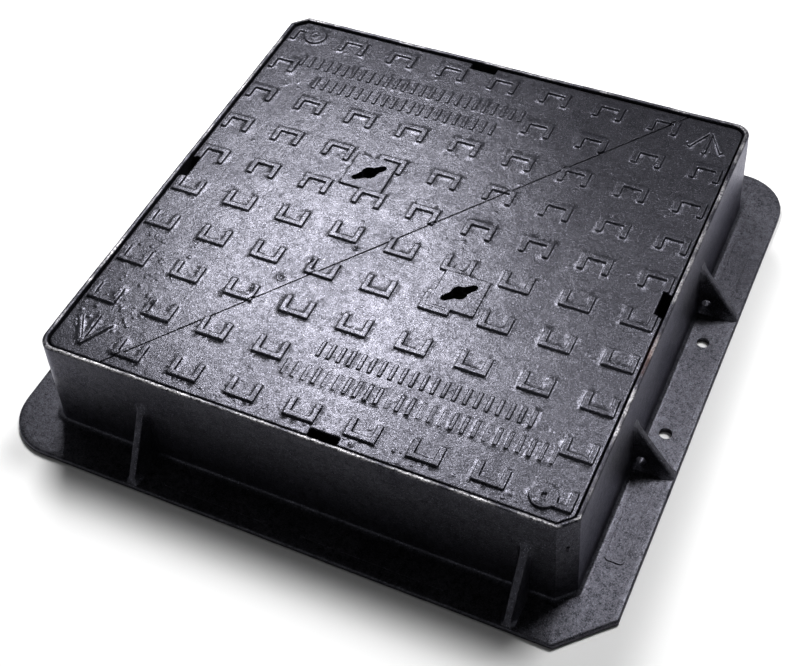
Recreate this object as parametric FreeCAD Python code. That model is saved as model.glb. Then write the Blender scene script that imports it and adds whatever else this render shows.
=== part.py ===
import FreeCAD, Part
import math
import os

# Double triangular manhole cover and frame, cast in ductile iron.
# The frame stands on the plane Z = 0 with its centre on the Z axis.
# +X is to the right, +Y to the back, +Z up. All sizes are in millimetres.
# The whole assembly, apart from the coupling bolts, repeats after half a turn about Z.

V = FreeCAD.Vector

# ---- Frame casting -------------------------------------------------------------------
HEIGHT = 150.0             # bedding face to rim
FLANGE_HALF = 405.0        # half the width of the base flange
FLANGE_THICK = 8.0
FLANGE_CHAMFER = 58.0      # front-right and back-left corners
FLANGE_ROUND = 65.0        # front-left and back-right corners
RIM_HALF = 345.0           # half the outer width of the rim
FOOT_HALF = 350.0          # the same at the flange: the walls have casting draft
RIM_CHAMFER = 20.0
RIM_ROUND = 20.0
RECESS_HALF = 339.1        # the pocket that the leaves sit in, at the rim
RECESS_FOOT_HALF = 337.4   # the same at the seating ledge
LEDGE_TOP = 104.0
LEDGE_THICK = 12.0
CLEAR_HALF = 300.0         # the clear opening is 600 x 600
CLEAR_ROUND = 12.0
SHAFT_HALF = 338.5          # inside face of the wall below the ledge
SEAT_TOP = 107.0           # machined tops of the six seating pads

GUSSET_THICK = 10.0
SIDE_GUSSET_Y = 135.5      # two gussets on the right side, at plus and minus this
SIDE_GUSSET_TOP = 88.0
END_GUSSETS_X = (-205.5, 291.0)   # gussets on the front side
END_GUSSET_TOP = 101.0
GUSSET_TOE = 1.5           # the gussets stop this far inside the flange's edge
GUSSET_EYE = (361.0, 24.0, 6.5)   # distance from the centre, height and radius of the hole

ANCHOR_X = 373.5
ANCHOR_Y = 79.0
ANCHOR_RADIUS = 8.25

PAD_HEIGHT = 1.2           # low pads on top of the flange
PAD_WIDTH = 24.5
PAD_ROUND = 6.0
SIDE_PAD_X = 362.0
SIDE_PADS_Y = ((-278.0, -150.0), (150.0, 278.0))
END_PADS_X = ((-169.0, -23.0), (20.0, 213.0))
END_PAD_Y = 364.0

BRACKET_THICK = 10.0       # webs that carry the ledge, on the inside of the wall
BRACKET_DEPTH = 52.0
BACK_BRACKETS_X = (-292.0, -110.0, 55.0, 218.0, 293.0)
SIDE_BRACKETS_Y = (-292.0, -130.0, 30.0, 190.0, 292.0)

# ---- Leaves --------------------------------------------------------------------------
LEAF_HALF = 335.9
LEAF_CHAMFER = 15.0
LEAF_ROUND = 14.0
PLATE_TOP = 147.0
PLATE_THICK = 8.0
TREAD_TOP = HEIGHT         # the raised pattern is flush with the rim
SPLIT_REACH = 260.0        # the split meets the back edge of the recess at this X
SPLIT_EDGE = 337.5
SPLIT_GAP = 1.6

SKIRT_HALF = 335.3
SKIRT_THICK = 8.5
SKIRT_BOTTOM = 111.0
SEAT_GAP = 0.3             # paint film and rolling tolerance between seat and leaf
KEEP_OUT_HALF = 295.0      # ribs deeper than the seats stay inside this square

SPINE_THICK = 11.0         # deep rib along the split
SPINE_GAP = 2.6            # between the two spines
SPINE_MID_BOTTOM = 76.0
SPINE_END_BOTTOM = 110.0
SPINE_DEEP_HALF = 350.0
SPINE_HALF = 432.0
RIB_THICK = 7.0
CROSS_RIBS = (-290.0, -175.0, -60.0, 60.0, 175.0, 290.0)   # along the split, square to it
CROSS_RIB_DEEP = 90.0
CROSS_RIB_SHALLOW = 118.0
CROSS_RIB_REACH = 470.0
LONG_RIBS = ((123.5, 104.0), (250.0, 110.0))    # distance from the split, bottom height

KEYHOLE = (-97.4, 75.6)    # centre of the rear-left leaf's keyhole
KEYHOLE_RADIUS = 10.5
KEY_SLOT_LENGTH = 49.0
KEY_SLOT_WIDTH = 8.6
KEY_SLOT_ANGLE = 45.0
KEY_PLATE = 60.0
KEY_BOSS_RADIUS = 36.0
KEY_BOSS_BORE = 28.0
KEY_BOSS_BOTTOM = 112.0

NOTCH_LENGTH = 38.0        # pry notches in the outer edges
NOTCH_DEPTH = 11.0
NOTCH_WALL = 8.0
BACK_NOTCH_X = -39.0

# ---- Raised pattern on the leaves ------------------------------------------------------
TREAD_WIDTH = 39.5
TREAD_DEPTH = 27.5
TREAD_BAR = 7.5
TREAD_PITCH_X = 78.0
TREAD_PITCH_Y = 68.6
TREAD_FIRST_Y = 46.5       # outer edge of the closed side in the first row
TREAD_COLUMNS = range(-4, 5)
TREAD_ROWS = range(5)
BARE_COLUMNS = {3: (-3, -2, -1, 0), 4: (4,)}    # places in the back half with no tread
ARROW_TIP = (298.0, 321.0)
ARROW_SPREAD = 22.5
ARROW_LENGTH = 40.0
ARROW_STEM = 47.0
ARROW_BAR = 5.0
BOSS_AT = (-297.0, 310.0)
BOSS_RADIUS = 16.5
BOSS_DIMPLE = 3.0
GRIP_TOP = PLATE_TOP + 2.0
GRIP_BAR = (4.5, 24.0)
GRIP_PITCH = 13.5
GRIP_ROWS = ((256.0, -289.0, 26), (217.5, -249.0, 21))     # centre Y, first X, count

# ---- Loose coupling between the leaves --------------------------------------------------
BOLT_PLACES = {"back": 117.5, "front": -117.5}     # along the split
BOLT_HEIGHT = 125.0
BOLT_RADIUS = 6.0
BOLT_HOLE_RADIUS = 7.2
BOLT_HEAD_HEIGHT = 7.5
HEX_FLATS = 19.0
WASHER_RADIUS = 12.0
WASHER_THICK = 2.5
THREAD_FIT = 0.08          # radial clearance of the washers, nut and insert on the bolt
COUPLING_SLACK = 2.5
NUT_HEIGHT = 9.5
NUT_COLLAR_HEIGHT = 3.8
NUT_COLLAR_RADIUS = 8.6
INSERT_RADIUS = 7.9
INSERT_HEIGHT = 2.4
BOLT_STICK_OUT = 3.0

# ---- Values worked out from the ones above ----------------------------------------------
SPLIT_LENGTH = math.hypot(SPLIT_REACH, SPLIT_EDGE)
ALONG = V(SPLIT_REACH / SPLIT_LENGTH, SPLIT_EDGE / SPLIT_LENGTH, 0)
ACROSS = V(ALONG.y, -ALONG.x, 0)                   # from the rear-left leaf to the other
PLATE_BOTTOM = PLATE_TOP - PLATE_THICK
LEDGE_BOTTOM = LEDGE_TOP - LEDGE_THICK
SEAT_CONTACT = SEAT_TOP + SEAT_GAP
BIG = 1000.0


def half_turn(shape):
    turned = shape.copy()
    turned.rotate(V(0, 0, 0), V(0, 0, 1), 180)
    return turned


def both_ways(shape):
    return [shape, half_turn(shape)]


def fuse(shapes):
    return shapes[0].multiFuse(shapes[1:]).removeSplitter()


def block(x, y, z):
    """A box from three (low, high) pairs."""
    return Part.makeBox(x[1] - x[0], y[1] - y[0], z[1] - z[0], V(x[0], y[0], z[0]))


def outline(half, chamfer, radius, z):
    """A square, chamfered at the front right and back left, rounded at the other corners."""
    inset = radius * (1 - math.sqrt(0.5))
    edges = [
        Part.makeLine(V(-half + radius, -half, z), V(half - chamfer, -half, z)),
        Part.makeLine(V(half - chamfer, -half, z), V(half, -half + chamfer, z)),
        Part.makeLine(V(half, -half + chamfer, z), V(half, half - radius, z)),
        Part.Arc(V(half, half - radius, z), V(half - inset, half - inset, z),
                 V(half - radius, half, z)).toShape(),
    ]
    return Part.Wire(edges + [half_turn(edge) for edge in edges])


def prism(wire, height):
    return Part.Face(wire).extrude(V(0, 0, height))


def draft_block(low, high):
    return Part.makeLoft([low, high], True, True)


def polygon_prism(points, direction):
    return Part.Face(Part.makePolygon(points + points[:1])).extrude(direction)


def at_split(along, across, z):
    """A point from its distance along the split, its distance across it and its height."""
    return ALONG * along + ACROSS * across + V(0, 0, z)


def bar(start, end, width, low, high):
    """A straight raised bar with square ends."""
    run = V(end[0] - start[0], end[1] - start[1], 0)
    side = V(-run.y, run.x, 0).normalize() * (width / 2)
    base = V(start[0], start[1], low)
    return polygon_prism([base - side, base + run - side, base + run + side, base + side],
                         V(0, 0, high - low))


# ---- Frame ---------------------------------------------------------------------------
def flange_pads():
    pads = []
    for low, high in SIDE_PADS_Y:
        pads.append(((SIDE_PAD_X, SIDE_PAD_X + PAD_WIDTH), (low, high)))
    for low, high in END_PADS_X:
        pads.append(((low, high), (-END_PAD_Y - PAD_WIDTH, -END_PAD_Y)))
    shapes = []
    for x, y in pads:
        pad = block(x, y, (FLANGE_THICK - 1, FLANGE_THICK + PAD_HEIGHT))
        upright = [edge for edge in pad.Edges if abs(edge.tangentAt(edge.FirstParameter).z) > 0.9]
        shapes += both_ways(pad.makeFillet(PAD_ROUND, upright))
    return shapes


def outer_gussets():
    eye_at, eye_height, eye_radius = GUSSET_EYE
    toe = FLANGE_HALF - GUSSET_TOE
    shapes = []
    for side in (-1, 1):
        y = side * SIDE_GUSSET_Y - GUSSET_THICK / 2
        points = [V(RIM_HALF - 3, y, 1), V(toe, y, 1), V(toe, y, FLANGE_THICK + 2),
                  V(RIM_HALF - 3, y, SIDE_GUSSET_TOP + 8)]
        gusset = polygon_prism(points, V(0, GUSSET_THICK, 0))
        eye = Part.makeCylinder(eye_radius, GUSSET_THICK + 2, V(eye_at, y - 1, eye_height), V(0, 1, 0))
        shapes += both_ways(gusset.cut(eye))
    for middle in END_GUSSETS_X:
        x = middle - GUSSET_THICK / 2
        points = [V(x, -RIM_HALF + 3, 1), V(x, -toe, 1), V(x, -toe, FLANGE_THICK + 2),
                  V(x, -RIM_HALF + 3, END_GUSSET_TOP + 8)]
        shapes += both_ways(polygon_prism(points, V(GUSSET_THICK, 0, 0)))
    return shapes


def ledge_brackets():
    """Triangular webs inside the wall, under the seating ledge."""
    inner, wall = CLEAR_HALF + 4, SHAFT_HALF + 2
    shapes = []
    for middle in BACK_BRACKETS_X:
        x = middle - BRACKET_THICK / 2
        points = [V(x, inner, LEDGE_BOTTOM + 1), V(x, wall, LEDGE_BOTTOM + 1),
                  V(x, wall, LEDGE_BOTTOM - BRACKET_DEPTH), V(x, inner, LEDGE_BOTTOM - 8)]
        shapes += both_ways(polygon_prism(points, V(BRACKET_THICK, 0, 0)))
    for middle in SIDE_BRACKETS_Y:
        y = middle - BRACKET_THICK / 2
        points = [V(inner, y, LEDGE_BOTTOM + 1), V(wall, y, LEDGE_BOTTOM + 1),
                  V(wall, y, LEDGE_BOTTOM - BRACKET_DEPTH), V(inner, y, LEDGE_BOTTOM - 8)]
        shapes += both_ways(polygon_prism(points, V(0, BRACKET_THICK, 0)))
    return shapes


def seat_places():
    """The rear-left leaf's three seats on the ledge, as (x, y) ranges."""
    low, high = CLEAR_HALF + 3, SKIRT_HALF
    return [((-high, -low), (low, high)), ((192.0, 236.0), (low, high)),
            ((-high + LEAF_ROUND, -264.0), (-high, -low))]


def frame_casting():
    wall = draft_block(outline(FOOT_HALF, RIM_CHAMFER, RIM_ROUND, 0),
                       outline(RIM_HALF, RIM_CHAMFER, RIM_ROUND, HEIGHT))
    flange = prism(outline(FLANGE_HALF, FLANGE_CHAMFER, FLANGE_ROUND, 0), FLANGE_THICK)
    body = fuse([wall, flange] + outer_gussets() + flange_pads())
    slope = (RECESS_HALF - RECESS_FOOT_HALF) / (HEIGHT - LEDGE_TOP)
    recess = draft_block(outline(RECESS_FOOT_HALF, LEAF_CHAMFER, LEAF_ROUND + 2, LEDGE_TOP),
                         outline(RECESS_HALF + slope, LEAF_CHAMFER, LEAF_ROUND + 2, HEIGHT + 1))
    opening = prism(outline(CLEAR_HALF, CLEAR_ROUND, CLEAR_ROUND, -1), HEIGHT + 2)
    shaft = prism(outline(SHAFT_HALF, RIM_CHAMFER, RIM_ROUND, -1), LEDGE_BOTTOM + 1)
    body = body.cut(fuse([recess, opening, shaft]))
    pocket = prism(outline(RECESS_FOOT_HALF + 0.5, LEAF_CHAMFER, LEAF_ROUND, LEDGE_TOP - 1), 10)
    seats = []
    for x, y in seat_places():
        seat = block((x[0] - 3, x[1] + 3), (y[0] - 2, y[1] + 4), (LEDGE_TOP - 1, SEAT_TOP))
        seats += both_ways(seat.common(pocket))
    body = fuse([body] + seats + ledge_brackets())
    anchors = [Part.makeCylinder(ANCHOR_RADIUS, FLANGE_THICK + 2, V(x, y, -1))
               for x in (-ANCHOR_X, ANCHOR_X) for y in (-ANCHOR_Y, ANCHOR_Y)]
    return body.cut(anchors)


# ---- Leaves --------------------------------------------------------------------------
def tread(column, row):
    """One U-shaped tread in the back half: closed towards the back, open to the front."""
    centre = column * TREAD_PITCH_X
    far = TREAD_FIRST_Y + row * TREAD_PITCH_Y
    near = far - TREAD_DEPTH
    left, right = centre - TREAD_WIDTH / 2, centre + TREAD_WIDTH / 2
    low = PLATE_TOP - 1
    points = [V(left, near, low), V(left + TREAD_BAR, near, low),
              V(left + TREAD_BAR, far - TREAD_BAR, low), V(right - TREAD_BAR, far - TREAD_BAR, low),
              V(right - TREAD_BAR, near, low), V(right, near, low), V(right, far, low),
              V(left, far, low)]
    return polygon_prism(points, V(0, 0, TREAD_TOP - low))


def arrow():
    tip_x, tip_y = ARROW_TIP
    low = PLATE_TOP - 1
    shapes = [bar((tip_x, tip_y), (tip_x, tip_y - ARROW_STEM), ARROW_BAR, low, TREAD_TOP)]
    for side in (-1, 1):
        foot = (tip_x + side * ARROW_SPREAD, tip_y - ARROW_LENGTH)
        shapes.append(bar((tip_x, tip_y), foot, ARROW_BAR, low, TREAD_TOP))
    return shapes


def grip_bars():
    """Two plain rows of short upright bars."""
    width, length = GRIP_BAR
    shapes = []
    for middle, first, count in GRIP_ROWS:
        for step in range(count):
            x = first + step * GRIP_PITCH
            shapes.append(block((x - width / 2, x + width / 2),
                                (middle - length / 2, middle + length / 2), (PLATE_TOP - 1, GRIP_TOP)))
    return shapes


def raised_pattern():
    shapes = []
    for row in TREAD_ROWS:
        for column in TREAD_COLUMNS:
            if column not in BARE_COLUMNS.get(row, ()):
                shapes.append(tread(column, row))
    reach = KEY_PLATE / 2
    x, y = KEYHOLE
    shapes.append(block((x - reach, x + reach), (y - reach, y + reach), (PLATE_TOP - 1, TREAD_TOP)))
    boss = Part.makeCylinder(BOSS_RADIUS, TREAD_TOP - PLATE_TOP + 1, V(*BOSS_AT, PLATE_TOP - 1))
    shapes.append(boss)
    shapes += arrow() + grip_bars()
    dimple = Part.makeCylinder(BOSS_DIMPLE, 3, V(*BOSS_AT, TREAD_TOP - 2))
    back_half = fuse(shapes).cut(dimple)
    return Part.makeCompound(both_ways(back_half))


def leaf_side(gap):
    """Everything on the rear-left side of the split, beyond half the given gap."""
    points = [at_split(along, across, 0) for along, across in
              ((-BIG, -gap / 2), (BIG, -gap / 2), (BIG, -BIG), (-BIG, -BIG))]
    return polygon_prism(points, V(0, 0, HEIGHT + 50))


def spine():
    """The deep rib along the split, bellied towards the middle."""
    across = -SPINE_GAP / 2 - SPINE_THICK
    def at(along, z):
        return at_split(along, across, z)
    top = PLATE_BOTTOM + 1
    edges = [
        Part.makeLine(at(-SPINE_HALF, top), at(-SPINE_HALF, SPINE_END_BOTTOM)),
        Part.makeLine(at(-SPINE_HALF, SPINE_END_BOTTOM), at(-SPINE_DEEP_HALF, SPINE_END_BOTTOM)),
        Part.Arc(at(-SPINE_DEEP_HALF, SPINE_END_BOTTOM), at(0, SPINE_MID_BOTTOM),
                 at(SPINE_DEEP_HALF, SPINE_END_BOTTOM)).toShape(),
        Part.makeLine(at(SPINE_DEEP_HALF, SPINE_END_BOTTOM), at(SPINE_HALF, SPINE_END_BOTTOM)),
        Part.makeLine(at(SPINE_HALF, SPINE_END_BOTTOM), at(SPINE_HALF, top)),
        Part.makeLine(at(SPINE_HALF, top), at(-SPINE_HALF, top)),
    ]
    return Part.Face(Part.Wire(edges)).extrude(ACROSS * SPINE_THICK)


def cross_ribs():
    near, top = -SPINE_GAP / 2 - 2, PLATE_BOTTOM + 1
    shapes = []
    for along in CROSS_RIBS:
        start = along - RIB_THICK / 2
        points = [at_split(start, near, top), at_split(start, near, CROSS_RIB_DEEP),
                  at_split(start, -CROSS_RIB_REACH, CROSS_RIB_SHALLOW),
                  at_split(start, -CROSS_RIB_REACH, top)]
        shapes.append(polygon_prism(points, ALONG * RIB_THICK))
    return shapes


def long_ribs():
    shapes = []
    for away, bottom in LONG_RIBS:
        near, far = -away + RIB_THICK / 2, -away - RIB_THICK / 2
        points = [at_split(-BIG, near, bottom), at_split(BIG, near, bottom),
                  at_split(BIG, far, bottom), at_split(-BIG, far, bottom)]
        shapes.append(polygon_prism(points, V(0, 0, PLATE_BOTTOM + 1 - bottom)))
    return shapes


def notch(grow):
    """The rear-left leaf's two pry notches, grown by a wall thickness or not at all."""
    half, deep = NOTCH_LENGTH / 2 + grow, LEAF_HALF - NOTCH_DEPTH - grow
    outer = SKIRT_HALF if grow else LEAF_HALF + 1
    z = (SKIRT_BOTTOM, PLATE_BOTTOM + 1) if grow else (SEAT_TOP - 5, HEIGHT + 1)
    left = block((-outer, -deep), (-half, half), z)
    back = block((BACK_NOTCH_X - half, BACK_NOTCH_X + half), (deep, outer), z)
    return [left, back]


def keyhole():
    """A round hole with two wings for the head of a T-shaped lifting key."""
    x, y = KEYHOLE
    tall = HEIGHT + 2 - KEY_BOSS_BOTTOM
    low = KEY_BOSS_BOTTOM
    turn = math.radians(KEY_SLOT_ANGLE)
    reach = KEY_SLOT_LENGTH / 2 - KEY_SLOT_WIDTH / 2
    wing = (reach * math.cos(turn), reach * math.sin(turn))
    ends = [(x - wing[0], y - wing[1]), (x + wing[0], y + wing[1])]
    rounds = [Part.makeCylinder(KEY_SLOT_WIDTH / 2, tall, V(*end, low)) for end in ends]
    slot = bar(ends[0], ends[1], KEY_SLOT_WIDTH, low, low + tall)
    return fuse([Part.makeCylinder(KEYHOLE_RADIUS, tall, V(x, y, low)), slot] + rounds)


def rear_left_leaf():
    side = leaf_side(SPLIT_GAP)
    plate = prism(outline(LEAF_HALF, LEAF_CHAMFER, LEAF_ROUND, PLATE_BOTTOM), PLATE_THICK)
    plate = plate.common(side)
    depth = PLATE_BOTTOM + 1 - SKIRT_BOTTOM
    inner_half = SKIRT_HALF - SKIRT_THICK
    skirt = prism(outline(SKIRT_HALF, LEAF_CHAMFER, LEAF_ROUND, SKIRT_BOTTOM), depth)
    skirt = skirt.cut(prism(outline(inner_half, LEAF_CHAMFER, LEAF_ROUND, SKIRT_BOTTOM), depth))
    x, y = KEYHOLE
    boss = Part.makeCylinder(KEY_BOSS_RADIUS, PLATE_BOTTOM + 1 - KEY_BOSS_BOTTOM,
                             V(x, y, KEY_BOSS_BOTTOM))
    ribs = fuse([skirt, spine(), boss] + cross_ribs() + long_ribs() + notch(NOTCH_WALL))
    inside = prism(outline(SKIRT_HALF, LEAF_CHAMFER, LEAF_ROUND, 0), HEIGHT)
    ledge_zone = block((-BIG, BIG), (-BIG, BIG), (0, SKIRT_BOTTOM)).cut(
        block((-KEEP_OUT_HALF, KEEP_OUT_HALF), (-KEEP_OUT_HALF, KEEP_OUT_HALF), (0, SKIRT_BOTTOM)))
    ribs = ribs.common(inside).common(leaf_side(SPINE_GAP)).cut(ledge_zone)
    seats = [block(x, y, (SEAT_CONTACT, PLATE_BOTTOM + 1)).common(inside).common(leaf_side(12.0))
             for x, y in seat_places()]
    body = fuse([plate, ribs] + seats)
    tread_edge = prism(outline(LEAF_HALF, LEAF_CHAMFER, LEAF_ROUND, 0), HEIGHT + 1)
    pattern = raised_pattern().common(side).common(tread_edge)
    body = fuse([body] + pattern.Solids)
    bore = Part.makeCylinder(KEY_BOSS_BORE, PLATE_BOTTOM, V(KEYHOLE[0], KEYHOLE[1], 0))
    holes = [Part.makeCylinder(BOLT_HOLE_RADIUS, SPINE_THICK + 8,
                               at_split(along, -SPINE_GAP / 2 - SPINE_THICK - 4, BOLT_HEIGHT), ACROSS)
             for along in BOLT_PLACES.values()]
    return body.cut([bore, keyhole()] + holes + notch(0))


# ---- Coupling hardware ------------------------------------------------------------------
def hexagon(across, height, along):
    corner = HEX_FLATS / math.sqrt(3)
    centre = at_split(along, across, BOLT_HEIGHT)
    points = []
    for step in range(6):
        turn = math.radians(60 * step)
        points.append(centre + ALONG * (corner * math.cos(turn)) + V(0, 0, corner * math.sin(turn)))
    return polygon_prism(points, ACROSS * height)


def round_bar(radius, across, length, along):
    return Part.makeCylinder(radius, length, at_split(along, across, BOLT_HEIGHT), ACROSS)


def ring(outer, inner, across, length, along):
    return round_bar(outer, across, length, along).cut(
        round_bar(inner, across - 1, length + 2, along))


def coupling(along):
    """One loose bolt through both spines: its head is on the rear-left leaf's side."""
    face = SPINE_GAP / 2 + SPINE_THICK
    bore = BOLT_RADIUS + THREAD_FIT
    head_washer = -face - WASHER_THICK
    nut_washer = face + COUPLING_SLACK
    nut = nut_washer + WASHER_THICK
    collar = nut + NUT_HEIGHT
    end = collar + NUT_COLLAR_HEIGHT + BOLT_STICK_OUT
    bolt = fuse([hexagon(head_washer - BOLT_HEAD_HEIGHT, BOLT_HEAD_HEIGHT, along),
                 round_bar(BOLT_RADIUS, head_washer - 1, end - head_washer + 1, along)])
    nut_blank = fuse([hexagon(nut, NUT_HEIGHT, along),
                      round_bar(NUT_COLLAR_RADIUS, collar - 1, NUT_COLLAR_HEIGHT + 1, along)])
    nut_body = nut_blank.cut(round_bar(bore, nut - 1, end, along))
    seat = collar + NUT_COLLAR_HEIGHT - INSERT_HEIGHT - 0.7
    nut_body = nut_body.cut(round_bar(INSERT_RADIUS, seat, INSERT_HEIGHT, along))
    return {
        "coupling_bolt": bolt,
        "head_washer": ring(WASHER_RADIUS, bore, head_washer, WASHER_THICK, along),
        "nut_washer": ring(WASHER_RADIUS, bore, nut_washer, WASHER_THICK, along),
        "lock_nut": nut_body,
        "lock_nut_insert": ring(INSERT_RADIUS - 0.05, bore, seat + 0.05, INSERT_HEIGHT - 0.1, along),
    }


def main():
    leaf = rear_left_leaf()
    nodes = {"frame_casting": frame_casting(), "rear_left_leaf": leaf,
             "front_right_leaf": half_turn(leaf)}
    for place, along in BOLT_PLACES.items():
        for name, shape in coupling(along).items():
            nodes[name + "_" + place] = shape
    os.makedirs("parts", exist_ok=True)
    for name, shape in nodes.items():
        print(name, "solids", len(shape.Solids), "faces", len(shape.Faces), "valid", shape.isValid(),
              "litres %.3f" % (shape.Volume / 1e6))
        shape.exportStep(os.path.join("parts", name + ".step"))


main()
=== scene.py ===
import math
import random

import bmesh
import bpy
import numpy as np
from mathutils import Matrix, Vector, noise
from mathutils.geometry import delaunay_2d_cdt


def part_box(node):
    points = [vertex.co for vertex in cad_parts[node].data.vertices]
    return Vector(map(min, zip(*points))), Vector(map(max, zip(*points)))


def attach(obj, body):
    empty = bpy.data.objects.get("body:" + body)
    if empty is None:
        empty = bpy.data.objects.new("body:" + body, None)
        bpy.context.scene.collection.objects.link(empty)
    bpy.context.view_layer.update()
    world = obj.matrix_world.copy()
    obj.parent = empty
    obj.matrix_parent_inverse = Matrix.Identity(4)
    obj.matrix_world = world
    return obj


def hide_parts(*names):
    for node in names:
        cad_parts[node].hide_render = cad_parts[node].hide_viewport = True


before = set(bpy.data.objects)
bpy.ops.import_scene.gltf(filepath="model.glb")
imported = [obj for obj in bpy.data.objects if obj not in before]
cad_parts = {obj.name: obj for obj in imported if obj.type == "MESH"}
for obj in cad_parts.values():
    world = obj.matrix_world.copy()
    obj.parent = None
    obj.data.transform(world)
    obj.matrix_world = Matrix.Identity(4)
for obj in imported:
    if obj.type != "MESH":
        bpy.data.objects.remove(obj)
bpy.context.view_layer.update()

# A double triangular manhole cover in its frame. Shapes are worked out in millimetres in the
# part's own frame: +X right, +Y back, +Z up, the bedding face at Z = 0. The rear-left leaf is
# modelled, and the front-right leaf is the same casting turned half a turn about Z.

MM = 0.001
frame_low, frame_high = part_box("frame_casting")
HEIGHT = frame_high.z / MM
FLANGE_HALF = frame_high.x / MM

# ---- Frame casting
FLANGE_THICK = 8.0
FLANGE_CHAMFER = 58.0
FLANGE_ROUND = 65.0
RIM_HALF = 345.0
FOOT_HALF = 350.0
RIM_CHAMFER = 20.0
RIM_ROUND = 20.0
RECESS_HALF = 339.1
RECESS_FOOT_HALF = 337.4
LEDGE_TOP = 104.0
LEDGE_THICK = 12.0
CLEAR_HALF = 300.0
CLEAR_ROUND = 12.0
SHAFT_HALF = 338.5
SEAT_TOP = 107.0
FILLET = 7.0
FRAME_SHARP = 42.0
GUSSET_THICK = 10.0
SIDE_GUSSET_Y = 135.5
SIDE_GUSSET_TOP = 88.0
END_GUSSETS_X = (-205.5, 291.0)
END_GUSSET_TOP = 101.0
GUSSET_TOE = 1.5
GUSSET_EYE = (361.0, 24.0, 6.5)
ANCHOR_X = 373.5
ANCHOR_Y = 79.0
ANCHOR_RADIUS = 8.25
PAD_WIDTH = 24.5
PAD_ROUND = 6.0
PAD_HEIGHT = 1.6
PAD_SOFT_EDGE = 0.5
SIDE_PAD_X = 362.0
SIDE_PADS_Y = ((-278.0, -150.0), (150.0, 278.0))
END_PADS_X = ((-169.0, -23.0), (20.0, 213.0))
END_PAD_Y = 364.0
BRACKET_THICK = 10.0
BRACKET_DEPTH = 52.0
BACK_BRACKETS_X = (-292.0, -110.0, 55.0, 218.0, 293.0)
SIDE_BRACKETS_Y = (-292.0, -130.0, 30.0, 190.0, 292.0)

# ---- Leaves
LEAF_HALF = 336.7
LEAF_CHAMFER = 15.0
LEAF_ROUND = 14.0
LEAF_EDGE_RADIUS = 1.5
PLATE_TOP = 147.0
PLATE_BOTTOM = 139.0
SPLIT_REACH = 260.0
SPLIT_EDGE = 337.5
SPLIT_GAP = 1.3            # between the painted edges
SPLIT_EDGE_RADIUS = 0.6
NOTCH_LENGTH = 38.0
NOTCH_DEPTH = 11.0
BACK_NOTCH_X = -39.0
KEYHOLE = (-97.4, 75.6)
KEYHOLE_RADIUS = 10.5
KEY_SLOT_LENGTH = 49.0
KEY_SLOT_WIDTH = 8.6
KEY_SLOT_ANGLE = 45.0
KEY_PLATE = 60.0

# ---- Raised pattern
TREAD_WIDTH = 39.5
TREAD_DEPTH = 27.5
TREAD_BAR = 7.5
TREAD_PITCH_X = 78.0
TREAD_PITCH_Y = 68.6
TREAD_FIRST_Y = 46.5
TREAD_COLUMNS = range(-4, 5)
TREAD_ROWS = range(5)
TREAD_HEIGHT = HEIGHT - PLATE_TOP
BARE_COLUMNS = {3: (-3, -2, -1, 0), 4: (4,)}
ARROW_TIP = (298.0, 321.0)
ARROW_SPREAD = 22.5
ARROW_LENGTH = 40.0
ARROW_STEM = 47.0
ARROW_BAR = 5.0
BOSS_AT = (-297.0, 310.0)
BOSS_RADIUS = 16.5
BOSS_DIMPLE = 3.0
BOSS_DIMPLE_DEPTH = 2.2
BOSS_LIP = 0.5
GRIP_HEIGHT = 2.0
GRIP_BAR = (4.5, 24.0)
GRIP_PITCH = 13.5
GRIP_ROWS = ((256.0, -289.0, 26), (217.5, -249.0, 21))

SPLIT_LENGTH = math.hypot(SPLIT_REACH, SPLIT_EDGE)
ALONG = (SPLIT_REACH / SPLIT_LENGTH, SPLIT_EDGE / SPLIT_LENGTH)
ACROSS = (ALONG[1], -ALONG[0])


# ---- Outlines
def signed_area(points):
    x, y = np.array(points).T
    return 0.5 * float(np.sum(x * np.roll(y, -1) - np.roll(x, -1) * y))


def corner(points, i):
    """A corner of a closed outline, the directions into and out of it, and its turn to the left."""
    before, here, after = (Vector(points[j % len(points)]) for j in (i - 1, i, i + 1))
    into, out = (here - before).normalized(), (after - here).normalized()
    return here, into, out, math.atan2(into.x * out.y - into.y * out.x, into.dot(out))

def offset_outline(points, radii, offset, steps=4):
    """A counter-clockwise outline moved outward by offset, with each corner rounded.

    An outward corner gains the offset in radius and an inward corner loses it, so the result
    stays a true parallel of the rounded outline.
    """
    moved = []
    for i in range(len(points)):
        here, into, out, _ = corner(points, i)
        n1, n2 = Vector((into.y, -into.x)), Vector((out.y, -out.x))
        moved.append(here + (n1 + n2) * (offset / (1 + n1.dot(n2))))
    result = []
    for i in range(len(moved)):
        here, into, out, bend = corner(moved, i)
        radius = radii[i] + offset if bend > 0 else radii[i] - offset
        if radius < 0.2 or abs(bend) < 0.02:
            result.append((here.x, here.y))
            continue
        reach = radius * math.tan(abs(bend) / 2)
        start = here - into * reach
        side = math.copysign(radius, bend)
        centre = start + Vector((-into.y, into.x)) * side
        spoke = start - centre
        for k in range(steps + 1):
            turned = spoke.copy()
            turned.rotate(Matrix.Rotation(bend * k / steps, 2))
            result.append((centre.x + turned.x, centre.y + turned.y))
    return result


def split_long_edges(points, longest):
    """The same closed outline with no edge longer than the given length."""
    result = []
    for a, b in zip(points, points[1:] + points[:1]):
        pieces = max(1, math.ceil(math.dist(a, b) / longest))
        for k in range(pieces):
            t = k / pieces
            result.append((a[0] + (b[0] - a[0]) * t, a[1] + (b[1] - a[1]) * t))
    return result


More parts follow.
